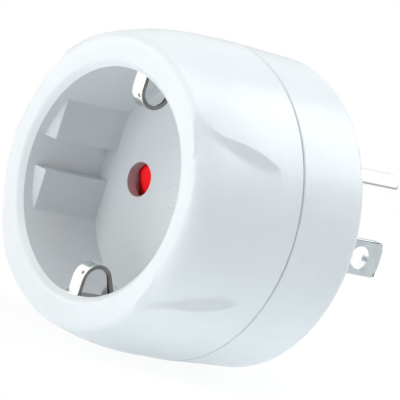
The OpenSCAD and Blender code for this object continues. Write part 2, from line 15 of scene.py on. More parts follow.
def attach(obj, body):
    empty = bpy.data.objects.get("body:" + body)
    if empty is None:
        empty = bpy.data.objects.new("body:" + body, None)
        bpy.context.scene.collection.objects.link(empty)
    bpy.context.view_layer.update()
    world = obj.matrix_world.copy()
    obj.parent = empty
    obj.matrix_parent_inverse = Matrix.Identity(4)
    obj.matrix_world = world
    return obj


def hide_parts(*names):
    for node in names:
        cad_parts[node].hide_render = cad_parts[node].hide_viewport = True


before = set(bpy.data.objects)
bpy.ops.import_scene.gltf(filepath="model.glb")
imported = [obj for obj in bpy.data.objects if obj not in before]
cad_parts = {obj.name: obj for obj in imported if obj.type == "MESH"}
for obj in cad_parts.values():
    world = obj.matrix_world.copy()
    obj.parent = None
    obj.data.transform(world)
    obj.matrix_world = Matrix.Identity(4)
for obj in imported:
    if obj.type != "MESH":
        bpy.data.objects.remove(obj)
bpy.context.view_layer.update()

MM = 0.001

# Millimetres: rim to back face; pin holes from the middle, and their radius; the blades'
# hole behind the back face and above the middle, and the radius that its wall lies in.
BODY_DEPTH = 45.0
PIN_SIDE = 9.5
PIN_HOLE_R = 3.0
BLADE_HOLE = (11.9, -3.1, 2.2)

log = logging.getLogger("adapter")

Colour = tuple[float, float, float]
Numbers = Sequence[float]


def rgba(colour: Colour) -> tuple[float, float, float, float]:
    """Returns a colour with full alpha."""
    return (*colour, 1.0)


def socket_point(x: float, y: float, depth: float) -> Vector:
    """Places a point of the socket drawing in the part's frame.

    Args:
        x: Millimetres to the right.
        y: Millimetres up.
        depth: Millimetres behind the front rim.

    Returns:
        The point in metres.
    """
    return Vector((x, depth - BODY_DEPTH, y)) * MM


def add_object(name: str, data: bpy.types.ID) -> bpy.types.Object:
    """Puts a mesh, lamp or camera into the scene.

    Args:
        name: Name of the object.
        data: What it shows.

    Returns:
        The object.
    """
    thing = bpy.data.objects.new(name, data)
    bpy.context.scene.collection.objects.link(thing)
    return thing


def draw_mesh(name: str, points: Sequence[Numbers], faces: Sequence[Numbers]) -> bpy.types.Mesh:
    """Draws a closed mesh with smooth faces that all look outward.

    Args:
        name: Name of the mesh.
        points: Its corners, in metres.
        faces: The numbers of the corners of each face.

    Returns:
        The mesh.
    """
    mesh = bpy.data.meshes.new(name)
    mesh.from_pydata(points, [], faces)
    mesh.polygons.foreach_set("use_smooth", [True] * len(faces))
    form = bmesh.new()
    form.from_mesh(mesh)
    bmesh.ops.recalc_face_normals(form, faces=form.faces)
    form.to_mesh(mesh)
    form.free()
    return mesh


def shade_evenly(piece: bpy.types.Object) -> None:
    """Lets the larger faces of a piece set its shading, so that flat faces look flat."""
    shading = piece.modifiers.new("shading", "WEIGHTED_NORMAL")
    shading.mode = "FACE_AREA_WITH_ANGLE"


class Wire:
    """The output of a shader node, which takes part in Python arithmetic."""

    def __init__(self, graph: "Graph", socket: bpy.types.NodeSocket) -> None:
        """Keeps the graph and the socket that the wire starts from."""
        self.graph = graph
        self.socket = socket

    def math(self, operation: str, *values: "Wire | float") -> "Wire":
        """Adds a Math node that starts with this wire.

        Args:
            operation: Name of the Math node's operation.
            values: The other inputs.

        Returns:
            The node's result.
        """
        inputs = dict(enumerate((self, *values)))
        return self.graph.add("ShaderNodeMath", {"operation": operation}, inputs)

    def __add__(self, other: "Wire | float") -> "Wire":
        """Returns the sum."""
        return self.math("ADD", other)

    __radd__ = __add__

    def __mul__(self, other: "Wire | float") -> "Wire":
        """Returns the product."""
        return self.math("MULTIPLY", other)

    __rmul__ = __mul__

    def __sub__(self, other: "Wire | float") -> "Wire":
        """Returns the difference."""
        return self.math("SUBTRACT", other)

    def __rsub__(self, other: float) -> "Wire":
        """Returns a number less this wire."""
        return self.math("MULTIPLY_ADD", -1.0, other)

    def __pow__(self, other: float) -> "Wire":
        """Returns this wire raised to a power."""
        return self.math("POWER", other)

    def __abs__(self) -> "Wire":
        """Returns the size without its sign."""
        return self.math("ABSOLUTE")

    def step(self, low: float, high: float) -> "Wire":
        """Turns the wire into a smooth step.

        Args:
            low: Value up to which the step is 0.
            high: Value from which it is 1.

        Returns:
            The step.
        """
        settings = {"interpolation_type": "SMOOTHSTEP", "clamp": True}
        sockets = {"Value": self, "From Min": low, "From Max": high}
        return self.graph.add("ShaderNodeMapRange", settings, sockets)


class Graph:
    """The node tree of one material, world or lamp."""

    def __init__(self, tree: bpy.types.NodeTree) -> None:
        """Empties the tree and keeps it."""
        tree.nodes.clear()
        self.tree = tree

    def add(
        self,
        kind: str,
        settings: Mapping[str, object] | None = None,
        sockets: Mapping[str | int, "Wire | float | Numbers"] | None = None,
        output: str | int = 0,
    ) -> Wire | None:
        """Adds a node.

        Args:
            kind: The node's type.
            settings: Its settings.
            sockets: Values or wires for its inputs.
            output: Name or number of the output to return.

        Returns:
            That output, or None where the node has no output.
        """
        node = self.tree.nodes.new(kind)
        for name, value in (settings or {}).items():
            setattr(node, name, value)
        for name, value in (sockets or {}).items():
            if isinstance(value, Wire):
                self.tree.links.new(value.socket, node.inputs[name])
            else:
                node.inputs[name].default_value = value
        return Wire(self, node.outputs[output]) if node.outputs else None

    def object_place(self) -> Wire:
        """Returns the place on the surface, in metres of the part's frame."""
        return self.add("ShaderNodeTexCoord", output="Object")

    def within(self, side: float, start: float, end: float) -> Wire:
        """Marks what lies near two lines that run from front to back.

        Args:
            side: How far the lines are to the left and right of the middle, in millimetres.
            start: Distance from a line up to which the mask is 1.
            end: Distance from which it is 0.

        Returns:
            The mask.
        """
        place = self.object_place()
        x, z = (self.add("ShaderNodeSeparateXYZ", None, {0: place}, axis) for axis in "XZ")
        away = ((abs(x) - side * MM) ** 2 + z * z) ** 0.5
        return 1.0 - away.step(start * MM, end * MM)

    def noise(self, grain_mm: float, detail: float, stretch: Numbers = (1, 1, 1)) -> Wire:
        """Adds a noise field.

        Args:
            grain_mm: Size of its spots in millimetres.
            detail: How many finer layers it has.
            stretch: How much longer the spots are along each axis.

        Returns:
            The noise, about 0.5 on average.
        """
        sockets = {"Vector": self.object_place(), "Scale": [1 / s for s in stretch]}
        place = self.add("ShaderNodeMapping", None, sockets)
        sockets = {"Vector": place, "Scale": 1 / (grain_mm * MM), "Detail": detail}
        return self.add("ShaderNodeTexNoise", None, sockets, "Fac")

    def blend(self, mask: Wire, low: "Wire | Colour", high: "Wire | Colour") -> Wire:
        """Mixes two colours.

        Args:
            mask: Which colour shows, from 0 to 1.
            low: The colour at 0.
            high: The colour at 1.

        Returns:
            The mixed colour.
        """
        low, high = (c if isinstance(c, Wire) else rgba(c) for c in (low, high))
        settings = {"data_type": "RGBA", "clamp_factor": True}
        return self.add("ShaderNodeMix", settings, {0: mask, 6: low, 7: high}, 2)

    def bump(self, height: Wire, depth_mm: float, normal: Wire) -> Wire:
        """Presses a height field into a normal.

        Args:
            height: The field, from 0 to 1.
            depth_mm: Depth of the relief in millimetres.
            normal: The normal to start from.

        Returns:
            The new normal.
        """
        sockets = {"Height": height, "Distance": depth_mm * MM, "Strength": 1.0, "Normal": normal}
        return self.add("ShaderNodeBump", None, sockets)

    def seen(self) -> tuple[Wire, Wire]:
        """Tells what the camera sees.

        Returns:
            A mask of what it sees straight, and one of what it sees straight, in a mirror
            or through glass.
        """
        camera, mirror, through = (
            self.add("ShaderNodeLightPath", output=f"Is {kind} Ray")
            for kind in ("Camera", "Glossy", "Transmission")
        )
        return camera, camera.math("MAXIMUM", mirror).math("MAXIMUM", through)

    def edge_normal(self, radius_mm: float) -> Wire:
        """Returns a normal that rounds the edges by a small radius."""
        return self.add("ShaderNodeBevel", {"samples": 4}, {"Radius": radius_mm * MM})

    def finish(self, values: Mapping[str, "Wire | float | Numbers"]) -> None:
        """Ends the tree in one Principled shader with these values."""
        shader = self.add("ShaderNodeBsdfPrincipled", None, values)
        self.add("ShaderNodeOutputMaterial", None, {"Surface": shader})


def new_material(name: str) -> tuple[bpy.types.Material, Graph]:
    """Makes an empty material.

    Args:
        name: Name of the material.

    Returns:
        The material and its graph.
    """
    material = bpy.data.materials.new(name)
    material.use_nodes = True
    return material, Graph(material.node_tree)


@dataclass(frozen=True)
class MouldedPlastic:
    """Injection moulded plastic with a fine spark-eroded skin.

    Attributes:
        name: Name of the material.
        colour: Colour of the plastic.
        shade: Colour where the melt came out slightly denser.
        roughness: Roughness of the skin.
        texture_mm: Size of the grain.
        relief_mm: Depth of the grain.
        edge_mm: Radius by which edges are rounded.
        cloud_mm: Size of the clouds in the colour.
        flow_mm: Size of the streaks that the flow of the melt leaves.
        handling_mm: Size of the spots that handling has dulled.
        recess: Painted shade: a darker colour inside the socket recess, where shade falls.
        recess_shade_edge: Radii between which that painted shade ends.
        painted_hole_shade: Painted shade: a darker colour on the walls of the pin holes in such a
            piece.
        painted_glow: Painted glow: light that the colour gives out below the pin holes, so that it
            looks lit.
    """

    name: str
    colour: Colour
    shade: Colour
    roughness: float = 0.34
    texture_mm: float = 0.16
    relief_mm: float = 0.0016
    edge_mm: float = 0.06
    cloud_mm: float = 9.0
    flow_mm: float = 3.0
    handling_mm: float = 5.0
    recess: Colour | None = None
    recess_shade_edge: tuple[float, float] = (19.65, 19.85)
    painted_hole_shade: Colour = (0.42, 0.45, 0.47)
    painted_glow: float = 0.0

    def make(self) -> bpy.types.Material:
        """Builds the material.

        Returns:
            The material.
        """
        material, graph = new_material(self.name)
        cloud = graph.noise(self.cloud_mm, 2.0)
        flow = graph.noise(self.flow_mm, 3.0, (1, 2.6, 1))
        grain = graph.noise(self.texture_mm, 2.0)
        handling = graph.noise(self.handling_mm, 4.0, (1, 1, 2)).step(0.45, 0.7)
        colour = graph.blend((cloud * 0.6 + flow * 0.4).step(0.35, 0.68), self.shade, self.colour)
        roughness = self.roughness + 0.07 * handling + 0.05 * (grain - 0.5)
        values = {
            "Roughness": roughness,
            "Normal": graph.bump(grain, self.relief_mm, graph.edge_normal(self.edge_mm)),
            "IOR": 1.5,
        }
        if self.recess:
            # Painted shade: the colour is darker inside the socket recess.
            colour = graph.blend(graph.within(0.0, *self.recess_shade_edge), colour, self.recess)
            # Painted shade: the walls of the pin holes are darker still.
            hole = graph.within(PIN_SIDE, PIN_HOLE_R, PIN_HOLE_R + 0.06)
            colour = graph.blend(hole, colour, self.painted_hole_shade)
        # Painted glow: the face gives out light of its own below the pin holes, so that it looks
        # lit.
        if self.painted_glow:
            hole = graph.within(PIN_SIDE, PIN_HOLE_R - 0.25, PIN_HOLE_R)
            values["Emission Color"] = graph.blend(hole, (0.0, 0.0, 0.0), self.colour)
            values["Emission Strength"] = self.painted_glow
        graph.finish({"Base Color": colour, **values})
        return material


class Plating(Enum):
    """Colours of the metal finishes, where they are clean and where a film lies on them, and of a
    painted dark reflection.
    """

    NICKEL = ((1.0, 0.998, 0.99), (0.93, 0.925, 0.91))
    SHEARED = ((0.36, 0.34, 0.32), (0.27, 0.25, 0.235))
    PRONG = ((1.0, 1.0, 1.0), (0.95, 0.955, 0.96))
    # A painted dark reflection, not a metal finish.
    PAINTED_DARK = ((0.075, 0.07, 0.065), (0.045, 0.042, 0.04))
    BLADE = ((0.57, 0.635, 0.655), (0.5, 0.56, 0.58))
    ZINC = ((0.66, 0.67, 0.69), (0.5, 0.51, 0.53))
    STEEL = ((0.56, 0.56, 0.57), (0.38, 0.37, 0.37))
    BRASS = ((0.80, 0.62, 0.33), (0.58, 0.42, 0.2))


@dataclass(frozen=True)
class PlatedMetal:
    """Stamped or turned metal with a plated skin.

    Attributes:
        name: Name of the material.
        plating: Which plating it has.
        roughness: Roughness of the clean metal.
        brush: How much longer the drawing marks are along each axis.
        brush_mm: Width of a drawing mark.
        relief_mm: Depth of the drawing marks.
        edge_mm: Radius by which edges are rounded.
        film_mm: Size of the patches of film.
        spots_mm: Size of the spots where the metal is duller and rougher.
    """

    name: str
    plating: Plating
    roughness: float
    brush: tuple[float, float, float] = (1.0, 12.0, 1.0)
    brush_mm: float = 0.12
    relief_mm: float = 0.0012
    edge_mm: float = 0.1
    film_mm: float = 2.4
    spots_mm: float = 0.5

    def make(self) -> bpy.types.Material:
        """Builds the material.

        Returns:
            The material.
        """
        material, graph = new_material(self.name)
        clean, filmed = self.plating.value
        marks = graph.noise(self.brush_mm, 2.0, self.brush)
        film = graph.noise(self.film_mm, 4.0).step(0.46, 0.72)
        spots = graph.noise(self.spots_mm, 3.0).step(0.62, 0.8)
        tone = graph.blend(film * 0.45 + 0.25 * marks.step(0.4, 0.7), clean, filmed)
        roughness = self.roughness + 0.1 * film + 0.12 * spots + 0.06 * (marks - 0.5)
        normal = graph.bump(marks, self.relief_mm, graph.edge_normal(self.edge_mm))
        values = {"Base Color": tone, "Metallic": 1.0, "Roughness": roughness, "Normal": normal}
        graph.finish(values)
        return material


class CadNode:
    """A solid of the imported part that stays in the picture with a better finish."""

    def __init__(self, name: str) -> None:
        """Finds the node."""
        self.name = name
        self.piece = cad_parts[name]

    def dress(self, material: bpy.types.Material) -> None:
        """Gives every slot of the node one material.

        Args:
            material: The material.
        """
        if not self.piece.material_slots:
            self.piece.data.materials.append(material)
        for slot in self.piece.material_slots:
            slot.material = material
        log.info("%s: %s", self.name, material.name)


@dataclass(frozen=True)
class EdgeRounding:
    """Rounding of the edges of a moulded, turned or stamped piece.

    Attributes:
        radius_mm: Radius of an ordinary edge.
        crease_deg: Angle between two faces from which their edge is rounded.
        share: Largest part of the land beside an edge that its rounding takes.
        widest: Widest land that is measured.
        nearest: Distance up to which a rounded edge counts as the same one.
        steps: Number of strips in a rounding.
    """

    radius_mm: float = 0.22
    crease_deg: float = 26.0
    share: float = 0.36
    widest: float = 9.0
    nearest: float = 0.02
    steps: int = 3

    def radius_at(self, place: Vector) -> float:
        """Returns the radius wanted at a place in millimetres of the part's frame."""
        return self.radius_mm


@dataclass(frozen=True)
class HousingRounding(EdgeRounding):
    """Rounding of the front housing: soft in its cavity, crisp at mouth, seam and holes.

    Attributes:
        cavity_mm: Radius of the outermost edges in the cavity behind the socket.
        cavity: Distance from the middle line beyond which they lie, and their largest depth.
        mouth_mm: Radius where the mouth turns into the recess.
        mouth: Largest distance of that edge from the middle line, and its range of depth.
        crisp_mm: Radius at the seam, the pin holes and the clip slots.
        crisp: Depth behind which edges are crisp, and half the width of the slots.
    """

    cavity_mm: float = 0.55
    cavity: tuple[float, float] = (23.0, 17.5)
    mouth_mm: float = 0.1
    mouth: tuple[float, float, float] = (20.2, 0.5, 1.6)
    crisp_mm: float = 0.07
    crisp: tuple[float, float] = (17.0, 2.2)

    def radius_at(self, place: Vector) -> float:
        """Chooses the radius of an edge.

        Args:
            place: Middle of the edge in millimetres of the part's frame.

        Returns:
            The radius wanted there in millimetres.
        """
        reach, depth = math.hypot(place.x, place.z), place.y + BODY_DEPTH
        if reach > self.cavity[0] and depth < self.cavity[1]:
            return self.cavity_mm
        if reach < self.mouth[0] and self.mouth[1] < depth < self.mouth[2]:
            return self.mouth_mm
        if depth > self.crisp[0] or abs(place.x) < self.crisp[1]:
            return self.crisp_mm
        return self.radius_mm


@dataclass
class RoundedPiece:
    """A visible piece drawn over one solid of the part, with its edges rounded.

    Attributes:
        node: Name of the solid.
        body: Moving body that the piece belongs to.
        slot: Name of a slot for its finish; not used.
        material: Its finish.
        rounding: How its edges are rounded.
        hole_material: Finish of the wall of a blade's hole, where that is brighter.
        weld_mm: Distance below which corners are one.
        flat_deg: Angle below which faces are one.
    """

    node: str
    body: str
    slot: str
    material: bpy.types.Material
    rounding: EdgeRounding = EdgeRounding()
    hole_material: bpy.types.Material | None = None
    weld_mm: float = 0.002
    flat_deg: float = 0.6

    def build(self) -> bpy.types.Object:
        """Builds the piece and hides the solid that it stands for.

        Returns:
            The new object.
        """
        mesh = self.draw_skin()
        mesh.materials.append(self.material)
        if self.hole_material:
            mesh.materials.append(self.hole_material)
            for face in mesh.polygons:
                middle = face.center / MM
                away = math.hypot(middle.y - BLADE_HOLE[0], middle.z - BLADE_HOLE[1])
                face.material_index = int(away < BLADE_HOLE[2])
        piece = add_object(self.node + "_skin", mesh)
        rounds = piece.modifiers.new("rounding", "BEVEL")
        rounds.limit_method = "WEIGHT"
        rounds.width = MM
        rounds.segments = self.rounding.steps
        rounds.use_clamp_overlap = False
        shade_evenly(piece)
        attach(piece, self.body)
        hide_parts(self.node)
        log.info("%s: %d faces, %s", piece.name, len(mesh.polygons), self.material.name)
        return piece

    def draw_skin(self) -> bpy.types.Mesh:
        """Joins the solid's flat faces and weighs its edges by their rounding.

        Returns:
            The mesh, to be rounded by these weights.
        """
        skin = bmesh.new()
        skin.from_mesh(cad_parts[self.node].data)
        bmesh.ops.remove_doubles(skin, verts=skin.verts, dist=self.weld_mm * MM)
        self.open_skin(skin)
        bmesh.ops.dissolve_limit(
            skin, angle_limit=math.radians(self.flat_deg), verts=skin.verts, edges=skin.edges
        )
        weight = skin.edges.layers.float.new("bevel_weight_edge")
        crease = math.radians(self.rounding.crease_deg)
        inner = (edge for edge in skin.edges if len(edge.link_faces) == 2)
        edges = {edge for edge in inner if edge.calc_face_angle(0.0) > crease}
        for edge in edges:
            middle = (edge.verts[0].co + edge.verts[1].co) / 2
            wanted = self.rounding.radius_at(middle / MM)
            edge[weight] = min(wanted, self.rounding.share * self.land(edge, middle, edges))
        broad = [face for face in skin.faces if len(face.verts) > 4]
        bmesh.ops.triangulate(skin, faces=broad)
        self.close_skin(skin)
        for face in skin.faces:
            face.smooth = True
        mesh = bpy.data.meshes.new(self.node + "_skin")
        skin.to_mesh(mesh)
        skin.free()
        return mesh

    def open_skin(self, skin: bmesh.types.BMesh) -> None:
        """Takes away faces that the piece draws in its own way: none on a plain piece."""

    def close_skin(self, skin: bmesh.types.BMesh) -> None:
        """Draws those faces again: none on a plain piece."""

    def land(self, edge: bmesh.types.BMEdge, middle: Vector, edges: set) -> float:
        """Measures the narrower of the two lands beside an edge.

        Args:
            edge: The edge.
            middle: Its middle.
            edges: All edges that are rounded.

        Returns:
            The distance in millimetres to the next rounded edge across the land.
        """
        run = (edge.verts[1].co - edge.verts[0].co).normalized()
        room = self.rounding.widest
        for face in edge.link_faces:
            across = face.normal.cross(run)
            if across.dot(face.calc_center_median() - middle) < 0:
                across.negate()
            for vert in face.verts:
                away = across.dot(vert.co - middle) / MM
                ends = any(other in edges for other in vert.link_edges)
                if ends and away > self.rounding.nearest:
                    room = min(room, away)
        return room


def soft_max(a: np.ndarray, b: np.ndarray, width: float) -> np.ndarray:
    """Returns the larger of two fields, with a soft change between them."""
    near = np.maximum(width - np.abs(a - b), 0.0) / width
    return np.maximum(a, b) + near * near * width / 4


def soft_min(a: np.ndarray, b: np.ndarray, width: float) -> np.ndarray:
    """Returns the smaller of two fields, with a soft change between them."""
    return -soft_max(-a, -b, width)


@dataclass(frozen=True)
class GripWall:
    """The upright wall of a grip, which leans forward and flares out towards the collar.

    Attributes:
        place: Distance of its reference line from the middle plane, and the line's height
            and depth, in millimetres.
        lean: Lean towards the front in degrees.
        tilt: Tilt out of the upright in degrees.
        flare: Slope that is added at the front, and the height and depth where it ends.
        bow: Outward bow in the middle, with the depth of its middle and its half length.
    """

    place: tuple[float, float, float] = (24.63, 12.9, 15.0)
    lean: float = 13.8
    tilt: float = 5.0
    flare: tuple[float, float, float] = (0.35, 11.9, 6.0)
    bow: tuple[float, float, float] = (0.1, 9.0, 6.0)

    def beyond(self, x: np.ndarray, y: np.ndarray, depth: np.ndarray) -> np.ndarray:
        """Returns how far points lie beyond the wall.

        Args:
            x: Distance from the middle plane in millimetres.
            y: Height above the middle, or depth below it.
            depth: Depth behind the rim.

        Returns:
            The distance in millimetres, less than 0 on the near side.
        """
        lean, tilt = math.radians(self.lean), math.radians(self.tilt)
        slope, foot, end = self.flare
        rise, middle, half = self.bow
        start = self.place[0] + rise * np.maximum(1 - ((depth - middle) / half) ** 2, 0.0)
        turn = slope * (np.maximum(end - depth, 0.0) / 5.0) ** 2
        return (
            math.cos(lean) * math.cos(tilt) * (x - start + turn * soft_max(0 * y, y - foot, 1.0))
            + math.cos(lean) * math.sin(tilt) * (y - self.place[1])
            - math.sin(lean) * (depth - self.place[2])
        )


@dataclass
class FrontHousing(RoundedPiece):
    """The front housing, with mouth edge, collar, flare and grips as one flowing surface.

    Attributes:
        recess_r: Radius of the socket recess in millimetres.
        mouth_edge: Width of the slanted edge round the mouth.
        collar_r: Radius of the collar.
        body_r: Largest radius of the shell.
        flare_depth: Depth at which the flare is at its full width.
        edge_depth: Depth at which the flare starts.
        seam: Depth at which the seam's edge starts.
        roll: Radius at which a grip's rolled front edge starts, and its width and length.
        floor: Radius of the grip floor behind the roll, and its radius and depth at the ramp.
        ramp: Depth at which the ramp has risen to the shell.
        wall: The upright walls of the grips.
        edges: Angles between which the edges of the grips lie, in degrees.
        soft: Widths over which two forms flow into each other: at the mouth, at the collar,
            between floor and wall, round the grip, and at the start and end of the floor.
        outer: Distance from the middle line beyond which a face is an outer one.
        root: Radius and depth of the point that the rays round the collar start from.
        fan: Number of rays to the mouth's edge, to the rim, to the collar and to the flare.
        rows: Number of rays behind them, up to the seam.
        steps: Coarse and fine angle between two columns of rays, in degrees.
        halvings: Number of steps in which a ray finds the surface.
    """

    rounding: EdgeRounding = HousingRounding()
    recess_r: float = 19.75
    mouth_edge: float = 1.05
    collar_r: float = 25.7
    body_r: float = 27.8
    flare_depth: float = 15.0
    edge_depth: float = 0.9
    seam: float = 21.7
    roll: tuple[float, float, float] = (23.1, 3.0, 6.3)
    floor: tuple[float, float, float] = (26.1, 26.95, 14.2)
    ramp: float = 16.6
    wall: GripWall = GripWall()
    edges: tuple[float, float] = (24.0, 46.0)
    soft: tuple[float, float, float, float, float, float] = (0.3, 1.3, 0.22, 0.05, 3.0, 0.5)
    outer: float = 22.9
    root: tuple[float, float] = (22.2, 3.2)
    fan: tuple[int, int, int, int] = (7, 22, 8, 9)
    rows: int = 110
    steps: tuple[float, float] = (0.8, 0.12)
    halvings: int = 30

    def open_skin(self, skin: bmesh.types.BMesh) -> None:
        """Takes the outer faces away, from the mouth to the seam.

        Args:
            skin: The housing's faces.
        """
        outer = []
        for face in skin.faces:
            middle, normal = face.calc_center_median() / MM, face.normal
            reach, depth = math.hypot(middle.x, middle.z), middle.y + BODY_DEPTH
            outward = (normal.x * middle.x + normal.z * middle.z) / max(reach, 0.1)
            side = reach > self.outer and outward > 0.15 and depth < self.seam
            rim = reach > self.recess_r - 0.15 and normal.y < -0.3 and depth < 1.1
            if side or rim:
                outer.append(face)
        bmesh.ops.delete(skin, geom=outer, context="FACES")

    def flare(self, depth: np.ndarray) -> np.ndarray:
        """Returns the radius of collar and flare at each depth."""
        rest = np.clip((self.flare_depth - depth) / (self.flare_depth - self.edge_depth), 0, 2)
        return self.body_r - (self.body_r - self.collar_r) * rest**2

    def grip_floor(self, reach: np.ndarray, depth: np.ndarray) -> np.ndarray:
        """Returns how far points lie outside the rolled edge and floor of a grip.

        Args:
            reach: Distance from the middle line in millimetres.
            depth: Depth behind the rim.

        Returns:
            Roughly the distance in millimetres.
        """
        start, width, length = self.roll
        low, high, turn = self.floor
        gentle = soft_max(0 * depth, depth - length, self.soft[4]) * (high - low) / (turn - length)
        steep = high - low + (depth - turn) * (self.body_r - high) / (self.ramp - turn)
        reach = reach - soft_max(gentle, steep, self.soft[5])
        across = np.maximum(reach - start, 0.0) / width
        ahead = np.maximum(length - depth, 0.0) / length
        size = np.hypot(across, ahead)
        slope = np.hypot(across / width, ahead / length)
        rolled = (size - 1) * size / np.maximum(slope, 1e-6)
        return np.where(depth < length, rolled, reach - low)

    def outside(self, angle: np.ndarray, reach: np.ndarray, depth: np.ndarray) -> np.ndarray:
        """Returns how far points lie outside the housing.

        Args:
            angle: Angle round the middle line.
            reach: Distance from the middle line in millimetres.
            depth: Depth behind the rim.

        Returns:
            Roughly the distance in millimetres, less than 0 inside.
        """
        mouth, collar, corner, grip = self.soft[:4]
        x, y = np.abs(reach * np.cos(angle)), np.abs(reach * np.sin(angle))
        slant = (self.mouth_edge - (reach - self.recess_r) - depth) / math.sqrt(2)
        form = soft_max(soft_max(-depth, slant, mouth), reach - self.flare(depth), collar)
        keep = soft_min(self.grip_floor(reach, depth), self.wall.beyond(x, y, depth), corner)
        return soft_max(form, keep, grip)

    def profile(self) -> list[tuple[float, float, float, float]]:
        """Lists the rays along which the surface is found.

        Returns:
            For each ray its start and its direction, both as radius and depth.
        """
        mouth, rim, collar, flare = self.fan
        corner = self.collar_r - self.edge_depth
        marks = [
            (self.recess_r + self.mouth_edge * k / mouth, self.mouth_edge * (1 - k / mouth))
            for k in range(mouth)
        ]
        marks += [(r, 0.0) for r in np.linspace(self.recess_r + self.mouth_edge, corner, rim)]
        marks += [
            (corner + self.edge_depth * math.sin(a), self.edge_depth * (1 - math.cos(a)))
            for a in np.radians(np.linspace(10, 90, collar))
        ]
        marks += [(float(self.flare(d)), d) for d in np.linspace(1.1, 3.1, flare)]
        rays = [(*self.root, r - self.root[0], d - self.root[1]) for r, d in marks]
        rays += [
            (self.root[0], d, 1.0, 0.0) for d in np.linspace(self.root[1], self.seam, self.rows)
        ]
        return rays

    def close_skin(self, skin: bmesh.types.BMesh) -> None:
        """Draws the outer surface as a fine net of quads.

        Args:
            skin: The housing's other faces.
        """
        rays = np.array(self.profile())
        low, high = self.edges
        coarse, fine = self.steps
        last = np.linspace(high, 90, 1 + round((90 - high) / coarse))
        quarter = np.concatenate((np.arange(0, low, coarse), np.arange(low, high, fine), last))
        half_turn = np.concatenate((quarter, 180 - quarter[-2::-1]))
        angle = np.radians(np.concatenate((half_turn, 180 + half_turn[1:-1])))[:, None]
        run = np.hypot(rays[:, 2], rays[:, 3])
        step_r, step_d = rays[:, 2] / run, rays[:, 3] / run
        near = np.zeros((len(angle), len(rays)))
        far = near + self.rounding.widest
        for _ in range(self.halvings):
            half = (near + far) / 2
            out = self.outside(angle, rays[:, 0] + half * step_r, rays[:, 1] + half * step_d) > 0
            near, far = np.where(out, near, half), np.where(out, half, far)
        reach, depth = rays[:, 0] + near * step_r, rays[:, 1] + near * step_d
        x, y = reach * np.cos(angle), reach * np.sin(angle)
        net = [
            [skin.verts.new(socket_point(*place)) for place in zip(*row)]
            for row in zip(x, y, depth)
        ]
        for here, there in zip(net, net[1:] + net[:1]):
            for i in range(len(rays) - 1):
                skin.faces.new((here[i], here[i + 1], there[i + 1], there[i]))


